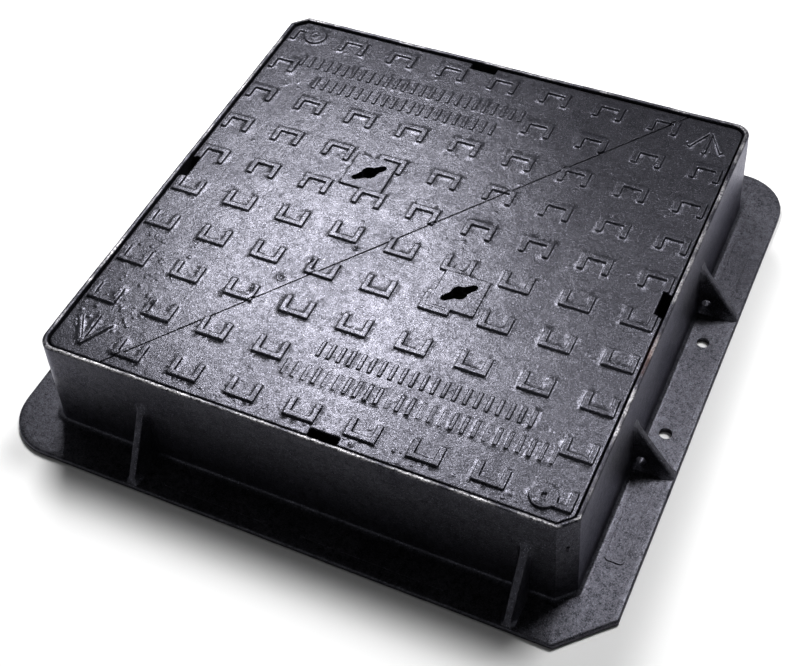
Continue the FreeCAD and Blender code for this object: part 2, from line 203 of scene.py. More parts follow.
def inside_distance(points, outline):
    """How far each point is inside a closed outline: negative outside."""
    p = np.asarray(points, float)
    a = np.asarray(outline, float)
    b = np.roll(a, -1, axis=0)
    edge = b - a
    length2 = np.maximum((edge ** 2).sum(1), 1e-12)
    rise = np.where(edge[:, 1] == 0, 1.0, edge[:, 1])
    best = np.empty(len(p))
    inside = np.empty(len(p), bool)
    block = max(200, 1500000 // len(a))
    for low in range(0, len(p), block):
        q = p[low:low + block, None, :]
        t = np.clip(((q - a) * edge).sum(2) / length2, 0, 1)
        gap = q - (a + edge * t[..., None])
        best[low:low + block] = np.sqrt((gap ** 2).sum(2).min(1))
        crosses = (a[:, 1] > q[..., 1]) != (b[:, 1] > q[..., 1])
        x_at = a[:, 0] + edge[:, 0] * (q[..., 1] - a[:, 1]) / rise
        inside[low:low + block] = (crosses & (q[..., 0] < x_at)).sum(1) % 2 == 1
    return np.where(inside, best, -best)


def circle_outline(centre, radius, count=36):
    return [(centre[0] + radius * math.cos(2 * math.pi * k / count),
             centre[1] + radius * math.sin(2 * math.pi * k / count)) for k in range(count)]


def rectangle(x, y):
    return [(x[0], y[0]), (x[1], y[0]), (x[1], y[1]), (x[0], y[1])]


def bar_outline(start, end, width):
    run = Vector((end[0] - start[0], end[1] - start[1]))
    side = Vector((-run.y, run.x)).normalized() * (width / 2)
    s, e = Vector(start), Vector(end)
    return [tuple(s + side), tuple(s - side), tuple(e - side), tuple(e + side)]


def at_split(along, across):
    """A point from its distance along the split and its distance across it."""
    return (ALONG[0] * along + ACROSS[0] * across, ALONG[1] * along + ACROSS[1] * across)


# ---- Raised shapes
# Each edge profile lists (distance outside the outline, share of the height).
TREAD_EDGE = ((1.0, 0.0), (0.55, 0.08), (0.3, 0.25), (-0.25, 0.75), (-0.55, 0.92), (-1.1, 0.99),
              (-1.8, 1.0))
GRIP_EDGE = ((0.9, 0.0), (0.4, 0.2), (-0.2, 0.75), (-0.7, 0.97), (-1.3, 1.0))


class Raised:
    """One raised shape: a closed outline with a height and an edge profile."""

    def __init__(self, outline, height, edge=TREAD_EDGE, convex=1.6, concave=0.9):
        if signed_area(outline) < 0:
            outline = outline[::-1]
        self.outline, self.height, self.edge = outline, height, edge
        turns = (corner(outline, i)[3] for i in range(len(outline)))
        self.radii = [convex if turn > 0 else concave for turn in turns]
        self.middle = offset_outline(outline, self.radii, 0.0)
        corners = np.array(self.middle)
        self.low = corners.min(0) - edge[0][0]
        self.high = corners.max(0) + edge[0][0]

    def half_turned(self):
        turned = [(-x, -y) for x, y in self.outline]
        return Raised(turned, self.height, self.edge, max(self.radii), min(self.radii))

    def contours(self, longest=9.0):
        return [split_long_edges(offset_outline(self.outline, self.radii, out), longest)
                for out, share in self.edge]

    def raise_to(self, points, heights):
        """Raises the heights of the points that this shape covers."""
        near = np.flatnonzero(((points > self.low) & (points < self.high)).all(1))
        if len(near):
            out = -inside_distance(points[near], self.middle)
            heights[near] = np.maximum(heights[near], self.rise(points[near], out))

    def rise(self, points, out):
        """How high the shape stands at points this far outside its outline."""
        offsets, shares = zip(*self.edge[::-1])
        return self.height * np.interp(out, offsets, shares)


def tread(column, row):
    """One U-shaped tread in the back half: closed towards the back, open to the front."""
    centre = column * TREAD_PITCH_X
    far = TREAD_FIRST_Y + row * TREAD_PITCH_Y
    near, bar = far - TREAD_DEPTH, TREAD_BAR
    left, right = centre - TREAD_WIDTH / 2, centre + TREAD_WIDTH / 2
    return Raised([(left, near), (left + bar, near), (left + bar, far - bar), (right - bar, far - bar),
                   (right - bar, near), (right, near), (right, far), (left, far)], TREAD_HEIGHT)


def filled_corner():
    """Thick paint that has filled the tread beside the key plate, up to a curved edge."""
    middle, far = -TREAD_PITCH_X, TREAD_FIRST_Y + TREAD_PITCH_Y
    left, right = middle - TREAD_WIDTH / 2, middle + TREAD_WIDTH / 2 - 1
    near = far - TREAD_DEPTH
    bow = [(left + (right - left) * k / 8, near - 5 - 5 * math.sin(math.pi * k / 8)) for k in range(9)]
    return Raised([(right, far - 1), (left, far - 1)] + bow, 0.9 * TREAD_HEIGHT)


def half_pattern(worn):
    """The raised shapes of the back half of the cover. Worn bars stand lower."""
    shapes = [tread(c, r) for r in TREAD_ROWS for c in TREAD_COLUMNS
              if c not in BARE_COLUMNS.get(r, ())]
    reach = KEY_PLATE / 2
    x, y = KEYHOLE
    shapes.append(Raised(rectangle((x - reach, x + reach), (y - reach, y + reach)), TREAD_HEIGHT))
    if worn:
        shapes.append(filled_corner())
    shapes.append(Raised(circle_outline(BOSS_AT, BOSS_RADIUS), TREAD_HEIGHT))
    tip_x, tip_y = ARROW_TIP
    feet = [(tip_x, tip_y - ARROW_STEM)]
    feet += [(tip_x + side * ARROW_SPREAD, tip_y - ARROW_LENGTH) for side in (-1, 1)]
    for foot in feet:
        shapes.append(Raised(bar_outline(ARROW_TIP, foot, ARROW_BAR), TREAD_HEIGHT, convex=0.9))
    chance = random.Random(11)
    width, length = GRIP_BAR
    for row, (middle, first, count) in enumerate(GRIP_ROWS):
        for step in range(count):
            x = first + step * GRIP_PITCH
            wear = chance.uniform(0.2, 0.85) if worn and row == 0 else chance.uniform(0.85, 1.0)
            outline = rectangle((x - width / 2, x + width / 2), (middle - length / 2, middle + length / 2))
            shapes.append(Raised(outline, GRIP_HEIGHT * wear, GRIP_EDGE, 1.1, 1.1))
    return shapes


# ---- Triangulated sheets
SLIVER = 0.002          # a triangle nearer to the edge than this is only a rounding error


def triangulate(loops, chains, loose, rim, holes):
    """Triangles between a rim and its holes, with every loop and open chain kept along their edges.

    Also gives the new number of each point of the loops.
    """
    points, edges = [], []
    for loop in loops:
        first = len(points)
        points += [Vector(p) for p in loop]
        edges += [(first + k, first + (k + 1) % len(loop)) for k in range(len(loop))]
    fixed = len(points)
    for chain in chains:
        first = len(points)
        points += [Vector(p) for p in chain]
        edges += [(first + k, first + k + 1) for k in range(len(chain) - 1)]
    points += [Vector(p) for p in loose]
    found, _, faces, origins, _, _ = delaunay_2d_cdt(points, edges, [], 0, 1e-4, True)
    found = np.array([(p.x, p.y) for p in found])
    faces = np.array(faces)
    middles = found[faces].mean(1)
    keep = inside_distance(middles, rim) > SLIVER
    for hole in holes:
        keep &= inside_distance(middles, hole) < -SLIVER
    used, faces = np.unique(faces[keep], return_inverse=True)
    new_number = {old: new for new, old in enumerate(used)}
    places = [0] * fixed
    for old, sources in enumerate(origins):
        for source in sources:
            if source < fixed:
                places[source] = new_number[old]
    return found[used], faces.reshape(-1, 3), places


def closed(chain):
    return list(chain) + [chain[0]]


def clipped(chain, rim, holes):
    """The stretches of a closed chain that lie clear inside a rim and outside its holes."""
    ring = closed(chain)
    safe = inside_distance(ring, rim) > 0
    for hole in holes:
        safe &= inside_distance(ring, hole) < -0.3
    stretches = [[]]
    for point, is_safe in zip(ring, safe):
        if is_safe:
            stretches[-1].append(point)
        else:
            stretches.append([])
    return [stretch for stretch in stretches if len(stretch) > 1]


def edge_loops(faces):
    """The closed chains of point numbers round the edge of a set of triangles."""
    directed = {(int(f[k]), int(f[(k + 1) % 3])) for f in faces for k in range(3)}
    following = {a: b for a, b in directed if (b, a) not in directed}
    loops = []
    while following:
        start = min(following)
        loop, here = [start], following.pop(start)
        while here != start:
            loop.append(here)
            here = following.pop(here)
        loops.append(loop)
    return sorted(loops, key=len, reverse=True)


def scattered(reach, pitch, seed):
    """A loose square grid of points, each shifted a little."""
    chance = np.random.default_rng(seed)
    steps = np.arange(-reach, reach, pitch)
    x, y = np.meshgrid(steps, steps)
    points = np.stack([x.ravel(), y.ravel()], 1)
    return points + chance.uniform(-0.3, 0.3, points.shape) * pitch


def waves(points, length, seed):
    """Smooth noise from -1 to 1 with the given wavelength, at 2D or 3D points."""
    shift = Vector((seed * 17.3, seed * -9.1, seed * 5.7))
    spots = (points[:, k] / length if k < points.shape[1] else np.zeros(len(points)) for k in range(3))
    return np.array([noise.noise(Vector(spot) + shift) for spot in zip(*spots)])


def placed(name, data):
    """A new object in the scene."""
    added = bpy.data.objects.new(name, data)
    bpy.context.scene.collection.objects.link(added)
    return added

def new_mesh(name, points, faces, sharp=35.0):
    """A mesh object from points in millimetres."""
    mesh = bpy.data.meshes.new(name)
    mesh.from_pydata([tuple(p) for p in np.asarray(points) * MM], [], [tuple(map(int, f)) for f in faces])
    mesh.validate()
    tidy = bmesh.new()
    tidy.from_mesh(mesh)
    bmesh.ops.recalc_face_normals(tidy, faces=tidy.faces)
    tidy.to_mesh(mesh)
    tidy.free()
    mesh.shade_smooth()
    mesh.set_sharp_from_angle(angle=math.radians(sharp))
    return placed(name, mesh)


def combine(piece, other, operation):
    """Adds another closed piece to a closed piece, or cuts it away, and removes the other."""
    change = piece.modifiers.new("combine", "BOOLEAN")
    change.operation, change.solver, change.object = operation, "MANIFOLD", other
    shown = piece.evaluated_get(bpy.context.evaluated_depsgraph_get())
    mesh = bpy.data.meshes.new_from_object(shown)
    piece.modifiers.clear()
    piece.data = mesh
    bpy.data.objects.remove(other)


# ---- Leaves: the road side
def leaf_outline():
    """The rear-left leaf's corners, counter-clockwise, and their radii."""
    gap = SPLIT_GAP / 2
    reach = LEAF_HALF / ALONG[1]
    slip = gap * (ACROSS[1] / ALONG[1])
    front = at_split(-reach + slip, -gap)
    back = at_split(reach + slip, -gap)
    half, notch, deep = LEAF_HALF, NOTCH_LENGTH / 2, LEAF_HALF - NOTCH_DEPTH
    corners = [(front, 1.2), (back, 1.2)]
    corners += [((BACK_NOTCH_X + notch, half), 1.5), ((BACK_NOTCH_X + notch, deep), 2.0),
                ((BACK_NOTCH_X - notch, deep), 2.0), ((BACK_NOTCH_X - notch, half), 1.5)]
    corners += [((-half + LEAF_CHAMFER, half), 3.0), ((-half, half - LEAF_CHAMFER), 3.0)]
    corners += [((-half, notch), 1.5), ((-deep, notch), 2.0), ((-deep, -notch), 2.0), ((-half, -notch), 1.5)]
    corners += [((-half, -half), LEAF_ROUND)]
    return [c[0] for c in corners], [c[1] for c in corners]


def leaf_contour(inset, longest):
    """The leaf's outline moved inward, with no edge longer than the given length."""
    corners, radii = leaf_outline()
    return split_long_edges(offset_outline(corners, radii, -inset), longest)

def keyhole_outline(grow=0.0):
    """A round hole with two round-ended wings."""
    radius, half = KEYHOLE_RADIUS + grow, KEY_SLOT_WIDTH / 2 + grow
    reach = KEY_SLOT_LENGTH / 2 - KEY_SLOT_WIDTH / 2
    mouth = math.asin(half / radius)
    points = []
    for side in (0.0, math.pi):
        for k in range(9):
            a = -math.pi / 2 + math.pi * k / 8
            points.append((side, reach + half * math.cos(a), half * math.sin(a)))
        for k in range(1, 12):
            a = mouth + (math.pi - 2 * mouth) * k / 12
            points.append((side, radius * math.cos(a), radius * math.sin(a)))
    slant = math.radians(KEY_SLOT_ANGLE)
    return [(KEYHOLE[0] + x * math.cos(slant + side) - y * math.sin(slant + side),
             KEYHOLE[1] + x * math.sin(slant + side) + y * math.cos(slant + side)) for side, x, y in points]


def edge_drop(inside, radius):
    """How much a rounded edge takes off a face, at this distance in from the edge."""
    away = np.clip(radius - inside, 0, radius)
    return radius - np.sqrt(np.maximum(radius ** 2 - away ** 2, (radius * 0.25) ** 2))


class Flaws:
    """Pimples, drips, craters and ridges in the casting and its thick coat of paint."""

    def __init__(self):
        self.spots = []

    def spot(self, at, radius, height, hollow=False):
        self.spots.append((np.array(at), radius, height, hollow))

    def scatter(self, x, y, count, radius, height, seed):
        chance = random.Random(seed)
        for _ in range(count):
            at = (chance.uniform(*x), chance.uniform(*y))
            size = radius[0] + (radius[1] - radius[0]) * chance.random() ** 2
            self.spot(at, size, height * chance.uniform(0.5, 1.0) * size / radius[1])

    def points(self):
        rings = []
        for at, radius, height, hollow in self.spots:
            rings.append(at)
            for share, count in ((0.35, 6), (0.65, 9), (0.85, 12), (1.0, 14), (1.25, 14)):
                turn = np.arange(count) * (2 * math.pi / count) + share * 3
                rings += list(at + radius * share * np.stack([np.cos(turn), np.sin(turn)], 1))
        return rings

    def heights(self, points):
        total = np.zeros(len(points))
        for at, radius, height, hollow in self.spots:
            near = np.flatnonzero((np.abs(points - at) < radius * 1.3).all(1))
            away = np.sqrt(((points[near] - at) ** 2).sum(1)) / radius
            if hollow:
                total[near] += height * np.exp(-((away - 0.8) / 0.2) ** 2) - 0.4 * height * (away < 0.6)
            else:
                total[near] += height * np.clip(1 - away ** 2, 0, 1) ** 0.8
        return total


def leaf_top(shapes, flaws, seed):
    """The road side of a leaf in the rear-left leaf's place: its points, triangles and heights."""
    corners, radii = leaf_outline()
    rim, hole = offset_outline(corners, radii, 0.0), keyhole_outline()
    loops = [split_long_edges(rim, 5.0), hole]
    contours = [leaf_contour(inset, 5.0) for inset in (0.35, 0.8, 1.5, 2.6)]
    contours += [keyhole_outline(grow) for grow in (0.3, 0.8, 1.5)]
    contours += [circle_outline(BOSS_AT, BOSS_DIMPLE + grow, 20) for grow in (-1.6, -0.4, 0.5, 2.2, 4.5, 6.5)]
    for shape in shapes:
        contours += shape.contours()
    loose = list(scattered(LEAF_HALF + 5, 7.0, seed)) + flaws.points()
    points, faces, _ = triangulate(loops, [closed(c) for c in contours], loose, rim, [hole])
    relief = np.zeros(len(points))
    for shape in shapes:
        shape.raise_to(points, relief)
    from_boss = np.sqrt(((points - np.array(BOSS_AT)) ** 2).sum(1))
    relief -= np.interp(from_boss, (BOSS_DIMPLE - 1.6, BOSS_DIMPLE + 0.5), (BOSS_DIMPLE_DEPTH, 0.0))
    relief += BOSS_LIP * np.exp(-((from_boss - BOSS_DIMPLE - 2.2) / 1.5) ** 2)
    from_rim = inside_distance(points, rim)
    inside = np.minimum(from_rim, -inside_distance(points, hole))
    at_the_split = -(points @ np.array(ACROSS)) - SPLIT_GAP / 2 <= from_rim + 0.05
    edge_radius = np.where(at_the_split, SPLIT_EDGE_RADIUS, LEAF_EDGE_RADIUS)
    rolling = 0.16 * waves(points, 70.0, seed) + 0.09 * waves(points, 24.0, seed + 1)
    grain = 0.07 * waves(points, 9.0, seed + 2)
    heights = PLATE_TOP + relief + rolling + grain + flaws.heights(points)
    return points, faces, heights - edge_drop(np.maximum(inside, 0), edge_radius)


# ---- Leaves: the underside
RIB_EDGE = ((5.0, 0.0), (3.4, 0.6), (2.0, 1.8), (1.0, 3.6), (0.5, 5.5), (-0.4, -1.6), (-0.9, -0.6),
            (-2.0, 0.0))
SKIRT_BOTTOM = 111.0
SKIRT_WALL = 9.1
SEAT_CONTACT = 107.3
SEAT_PLACES = (((-335.3, -303.0), (303.0, 335.3)), ((192.0, 236.0), (303.0, 335.3)),
               ((-321.3, -264.0), (-335.3, -303.0)))
KEEP_OUT_HALF = 295.0
SPINE_THICK = 11.0
SPINE_GAP = 2.6
SPINE_MID_BOTTOM = 76.0
SPINE_END_BOTTOM = 110.0
SPINE_DEEP_HALF = 350.0
SPINE_HALF = 432.0
RIB_THICK = 7.0
CROSS_RIBS = (-290.0, -175.0, -60.0, 60.0, 175.0, 290.0)
CROSS_RIB_BOTTOMS = (90.0, 118.0)
CROSS_RIB_REACH = 470.0
LONG_RIBS = ((123.5, 104.0), (250.0, 110.0))
KEY_BOSS_RADIUS = 36.0
KEY_BOSS_BORE = 28.0
KEY_BOSS_BOTTOM = 112.0
BOLT_ALONG = 117.5
BOLT_HEIGHT = 125.0
BOLT_HOLE_RADIUS = 7.2


def edge_levels(out, full, edge):
    """Heights over a rib's edge profile: from the plate where outside it, from its top where inside."""
    offsets, levels = (np.array(column[::-1]) for column in zip(*edge))
    below = np.interp(out, offsets, np.where(offsets > 0, levels, levels[offsets > 0][0]))
    above = full + np.interp(out, offsets, np.where(offsets > 0, levels[offsets <= 0][-1], levels))
    foot, top = offsets[offsets > 0][0], offsets[offsets <= 0][-1]
    share = np.clip((foot - out) / (foot - top), 0, 1)
    return below * (1 - share) + above * share


class Rib(Raised):
    """A deep rib under a leaf. Its height hangs down from the plate, and may change along it."""

    def __init__(self, outline, height, convex=1.5):
        super().__init__(outline, height, RIB_EDGE, convex, 1.0)

    def rise(self, points, out):
        full = self.height(points) if callable(self.height) else self.height
        return edge_levels(out, full, self.edge)


def split_strip(along, across):
    """A rectangle square to the split."""
    return [at_split(along[0], across[0]), at_split(along[1], across[0]),
            at_split(along[1], across[1]), at_split(along[0], across[1])]


def spine_height(points):
    """The spine's depth below the plate: bellied to an arc between its two ends."""
    along = points @ np.array(ALONG)
    rise = SPINE_END_BOTTOM - SPINE_MID_BOTTOM
    radius = (SPINE_DEEP_HALF ** 2 + rise ** 2) / (2 * rise)
    bottom = SPINE_MID_BOTTOM + radius - np.sqrt(np.maximum(radius ** 2 - along ** 2, 0))
    return PLATE_BOTTOM - np.minimum(bottom, SPINE_END_BOTTOM)


def cross_rib_height(points):
    away = -(points @ np.array(ACROSS))
    deep, shallow = CROSS_RIB_BOTTOMS
    return PLATE_BOTTOM - (deep + (shallow - deep) * np.clip(away / CROSS_RIB_REACH, 0, 1))


def underside_ribs():
    """Every rib and boss that hangs from the plate, and its height."""
    half = RIB_THICK / 2
    ribs = [Rib(split_strip((-SPINE_HALF, SPINE_HALF), (-SPINE_GAP / 2 - SPINE_THICK, 5.0)), spine_height)]
    for along in CROSS_RIBS:
        ribs.append(Rib(split_strip((along - half, along + half), (-CROSS_RIB_REACH, -5.0)),
                        cross_rib_height))
    for away, bottom in LONG_RIBS:
        ribs.append(Rib(split_strip((-500.0, 500.0), (-away - half, -away + half)), PLATE_BOTTOM - bottom))
    ribs.append(Rib(circle_outline(KEYHOLE, KEY_BOSS_RADIUS, 48), PLATE_BOTTOM - KEY_BOSS_BOTTOM))
    return ribs


def leaf_underside(loops, seed):
    """The underside of a leaf inside its edge loops: points, triangles, heights and loop numbers."""
    corners, radii = leaf_outline()
    rim, hole = offset_outline(corners, radii, 0.0), keyhole_outline()
    skirt_edge = offset_outline(corners, radii, -SKIRT_WALL)
    contours = [leaf_contour(inset, 8.0) for inset in (1.0, 1.8)]
    contours += [leaf_contour(SKIRT_WALL + out, 8.0) for out, level in RIB_EDGE]
    contours += [circle_outline(KEYHOLE, KEY_BOSS_BORE + out, 48) for out in (-0.4, 0.4, 1.2, 2.0)]
    contours += [split_long_edges(rectangle((-r, r), (-r, r)), 12.0)
                 for r in (KEEP_OUT_HALF - 1, KEEP_OUT_HALF + 1)]
    seats = [Rib(rectangle(x, y), PLATE_BOTTOM - SEAT_CONTACT) for x, y in SEAT_PLACES]
    ribs = underside_ribs()
    for shape in ribs + seats:
        contours += shape.contours(8.0)
    margin = offset_outline(corners, radii, -0.8)
    chains = [stretch for contour in contours for stretch in clipped(contour, margin, [hole])]
    loose = scattered(LEAF_HALF, 16.0, seed + 5)
    loose = loose[inside_distance(loose, margin) > 0]
    points, faces, places = triangulate(loops, chains, loose, rim, [hole])
    depth = np.zeros(len(points))
    for rib in ribs:
        rib.raise_to(points, depth)
    skirt = PLATE_BOTTOM - SKIRT_BOTTOM
    depth = np.maximum(depth, edge_levels(inside_distance(points, skirt_edge), skirt, RIB_EDGE))
    outer = np.clip((np.abs(points).max(1) - KEEP_OUT_HALF + 1) / 2, 0, 1)
    depth = np.where(depth > skirt, depth + (skirt - depth) * outer, depth)
    for seat in seats:
        seat.raise_to(points, depth)
    from_key = np.sqrt(((points - np.array(KEYHOLE)) ** 2).sum(1))
    depth *= np.clip((from_key - KEY_BOSS_BORE + 0.4) / 0.8, 0, 1)
    near_edge = np.maximum(inside_distance(points, rim), 0)
    depth -= np.where(depth > 10, edge_drop(near_edge, 1.6), 0)
    rolling = 0.25 * waves(points, 40.0, seed + 7) + 0.1 * waves(points, 12.0, seed + 8)
    return points, faces, PLATE_BOTTOM - depth + rolling, places


def side_rows(loop, is_hole):
    """Rows of points down the side wall below an edge loop, and the last row's inward step."""
    run = np.roll(loop, -1, axis=0) - np.roll(loop, 1, axis=0)
    run /= np.sqrt((run ** 2).sum(1))[:, None]
    step = np.column_stack([-run[:, 1], run[:, 0]]) * (0.0 if is_hole else 0.6)
    levels = ((144.5, 0), (139.4, 0)) + (() if is_hole else ((138.8, 1),))
    rows = [np.column_stack([loop + step * share, np.full(len(loop), level)]) for level, share in levels]
    return rows, step


def leaf_mesh(name, shapes, flaws, seed, turned):
    """One leaf as a closed mesh, in the rear-left leaf's place or turned half a turn."""
    points, triangles, heights = leaf_top(shapes, flaws, seed)
    chains = edge_loops(triangles)
    under, under_triangles, under_heights, places = leaf_underside([points[c] for c in chains], seed)
    stack = [np.column_stack([points, heights]), np.column_stack([under, under_heights])]
    faces = [tuple(f) for f in triangles] + [tuple(f[::-1] + len(points)) for f in under_triangles]
    count = len(points) + len(under)
    used = 0
    for number, chain in enumerate(chains):
        bottom = np.array(places[used:used + len(chain)])
        used += len(chain)
        rows, step = side_rows(points[chain], number > 0)
        stack[1][bottom, :2] += step
        levels = [chain]
        for row in rows:
            stack.append(row)
            levels.append(list(range(count, count + len(row))))
            count += len(row)
        levels.append(list(bottom + len(points)))
        for upper, lower in zip(levels, levels[1:]):
            for k in range(len(chain)):
                j = (k + 1) % len(chain)
                faces.append((upper[j], upper[k], lower[k], lower[j]))
    mesh_points = np.vstack(stack)
    sway = [waves(mesh_points, 90.0, seed + 3), waves(mesh_points, 90.0, seed + 4)]
    from_split = -(mesh_points[:, :2] @ np.array(ACROSS))
    mesh_points[:, :2] += 0.3 * np.column_stack(sway) * np.clip(from_split / 60, 0.1, 1)[:, None]
    if turned:
        mesh_points[:, :2] *= -1
    return new_mesh(name, mesh_points, faces)


# ---- Frame casting
def square_ring(half, chamfer, radius, side_steps=190, corner_steps=10):
    """A square with chamfers at the front right and back left, and arcs at the other corners."""
    points = []
    middle = -half + radius
    for k in range(corner_steps):
        a = math.pi * (1 + 0.5 * k / corner_steps)
        points.append((middle + radius * math.cos(a), middle + radius * math.sin(a)))
    turns = [(middle, -half), (half - chamfer, -half), (half, -half + chamfer), (half, half - radius)]
    for (a, b), steps in zip(zip(turns, turns[1:]), (side_steps, corner_steps, side_steps)):
        for k in range(steps):
            t = k / steps
            points.append((a[0] + (b[0] - a[0]) * t, a[1] + (b[1] - a[1]) * t))
    points = np.array(points)
    return np.vstack([points, -points])


def wall_half(z):
    """Half the width of the tapering wall at this height."""
    return FOOT_HALF + (RIM_HALF - FOOT_HALF) * z / HEIGHT


def frame_section():
    """The frame's section, from the recess round by the rim and the flange: half, chamfer, radius, z."""
    recess = (LEAF_CHAMFER, LEAF_ROUND + 2)
    rim = (RIM_CHAMFER, RIM_ROUND)
    section = []

    def add(kind, rows):
        for half, z in rows:
            section.append((half, kind[0], kind[1], z))

    def spread(rows, z):
        for half, share in rows:
            section.append((half, RIM_CHAMFER + (FLANGE_CHAMFER - RIM_CHAMFER) * share,
                            RIM_ROUND + (FLANGE_ROUND - RIM_ROUND) * share, z))

    def recess_half(z):
        return RECESS_FOOT_HALF + (RECESS_HALF - RECESS_FOOT_HALF) * (z - LEDGE_TOP) / (HEIGHT - LEDGE_TOP)

    add(recess, [(recess_half(z), z) for z in (110, 120, 130, 139, 145, 148)])
    add(recess, [(RECESS_HALF + 0.2, 149.2), (RECESS_HALF + 0.9, 149.85)])
    add(rim, [(341.6, 150.1), (343.2, 150.0), (344.2, 149.6), (344.8, 148.7), (wall_half(147), 147)])
    add(rim, [(wall_half(z), z) for z in range(140, 20, -8)])
    foot = wall_half(FLANGE_THICK + FILLET)
    bends = [math.radians(15 * k) for k in range(7)]
    add(rim, [(foot + FILLET * (1 - math.cos(a)), FLANGE_THICK + FILLET * (1 - math.sin(a))) for a in bends])
    spread([(364, 0.15), (371, 0.3), (378, 0.47), (385, 0.64), (391, 0.78), (397, 0.9)], FLANGE_THICK)
    flange = (FLANGE_CHAMFER, FLANGE_ROUND)
    add(flange, [(402.2, 8.0), (403.9, 7.5), (404.8, 6.2), (405, 4.5), (405, 1.6), (404.6, 0.5), (403.4, 0)])
    spread([(385, 0.64), (364, 0.15)], 0)
    ledge_foot = LEDGE_TOP - LEDGE_THICK
    add(rim, [(SHAFT_HALF + 1.2, 0), (SHAFT_HALF, 1.2)])
    add(rim, [(SHAFT_HALF, z) for z in (15, 35, 55, 75, 86)])
    add(rim, [(SHAFT_HALF - 0.7, 89.5), (SHAFT_HALF - 2.6, 91.4), (SHAFT_HALF - 6, ledge_foot)])
    clear = (CLEAR_ROUND, CLEAR_ROUND)
    add(rim, [(322, ledge_foot), (311, ledge_foot)])
    add(clear, [(302, ledge_foot), (300.5, 92.5), (300, 94), (300, 102), (300.5, 103.5), (302, LEDGE_TOP)])
    add(recess, [(310, LEDGE_TOP), (320, LEDGE_TOP), (330, LEDGE_TOP), (335, LEDGE_TOP),
                 (336.8, 104.5), (RECESS_FOOT_HALF, 106)])
    return section


def rough(points, seed):
    """Sand-cast unevenness on the frame, which leaves the bedding face flat."""
    shift = np.column_stack([waves(points, 110.0, seed + k) for k in range(3)]) * 0.45
    shift += np.column_stack([waves(points, 28.0, seed + 5 + k) for k in range(3)]) * 0.16
    shift[:, 2] *= np.clip(points[:, 2] / 4, 0, 1)
    on_rim = np.clip((points[:, 2] - 147.5) / 2, 0, 1) * (points[:, 2] > 147)
    nicks = waves(points, 6.5, seed + 9)
    shift += (nicks * on_rim * 0.4)[:, None] * np.array([0.4, 0.4, 1.0])
    shift[:, 2] -= np.clip(waves(points, 19.0, seed + 12) - 0.25, 0, 1) * on_rim * 1.2
    return points + shift


def band(upper, lower, count):
    """The faces between two closed rings of points, whose numbers start from these two."""
    return [(upper + k, upper + (k + 1) % count, lower + (k + 1) % count, lower + k) for k in range(count)]

def ring_body():
    rings = []
    for half, chamfer, radius, z in frame_section():
        ring = square_ring(half, chamfer, radius)
        rings.append(np.column_stack([ring, np.full(len(ring), float(z))]))
    count = len(rings[0])
    faces = []
    for level in range(len(rings)):
        faces += band(level * count, (level + 1) % len(rings) * count, count)
    return new_mesh("frame_visual", rough(np.vstack(rings), 21), faces, FRAME_SHARP)


def line_distance(points, a, b):
    """How far each point is from the line through two points."""
    edge = Vector(b) - Vector(a)
    return np.abs((points - np.array(a)) @ (np.array((-edge.y, edge.x)) / edge.length))

def web(outline, thick, flares, rounded, eye=None):
    """A closed web: its outline is in its own plane, and it widens near the flare lines.

    Its points come as (outward, up, sideways).
    """
    rim = split_long_edges(outline, 5.0)
    holes = [circle_outline(eye[:2], eye[2], 28)] if eye else []
    chains = [closed(split_long_edges(offset_outline(outline, [0.5] * len(outline), -d), 5.0))
              for d in (0.5, 1.2, 2.4, 5.0)]
    chains += [closed(circle_outline(eye[:2], eye[2] + 0.8, 28))] if eye else []
    low, high = np.min(outline, 0), np.max(outline, 0)
    grid = scattered(max(high - low), 5.0, 3)
    loose = grid[inside_distance(grid, outline) > 1.0]
    for hole in holes:
        loose = loose[inside_distance(loose, hole) < -1.5]
    points, triangles, _ = triangulate([rim] + holes, chains, loose, rim, holes)
    half = np.full(len(points), thick / 2)
    for line, radius in flares:
        half += edge_drop(line_distance(points, *line), radius)
    line, radius = rounded
    half -= np.minimum(edge_drop(line_distance(points, *line), radius), thick / 2 - 0.6)
    for hole in holes:
        half -= edge_drop(np.maximum(-inside_distance(points, hole), 0), 1.0)
    count = len(points)
    faces = [tuple(t) for t in triangles] + [tuple(t[::-1] + count) for t in triangles]
    for chain in edge_loops(triangles):
        for k in range(len(chain)):
            j = (k + 1) % len(chain)
            faces.append((chain[j], chain[k], chain[k] + count, chain[j] + count))
    wobble = 0.2 * waves(points, 22.0, 8)
    sheets = [np.column_stack([points, side * half + wobble]) for side in (1, -1)]
    return np.vstack(sheets), faces


def gusset(top, has_eye):
    """An outer gusset between the wall and the flange."""
    toe = FLANGE_HALF - GUSSET_TOE
    root = RIM_HALF - 3
    corners = [(root, 3.0), (toe, 3.0), (toe, FLANGE_THICK + 2), (root, top + 8)]
    flares = [(((FOOT_HALF, 0.0), (RIM_HALF, HEIGHT)), 6.0),
              (((root, FLANGE_THICK), (toe, FLANGE_THICK)), 6.0)]
    return web(corners, GUSSET_THICK, flares, (corners[2:], 3.2), GUSSET_EYE if has_eye else None)


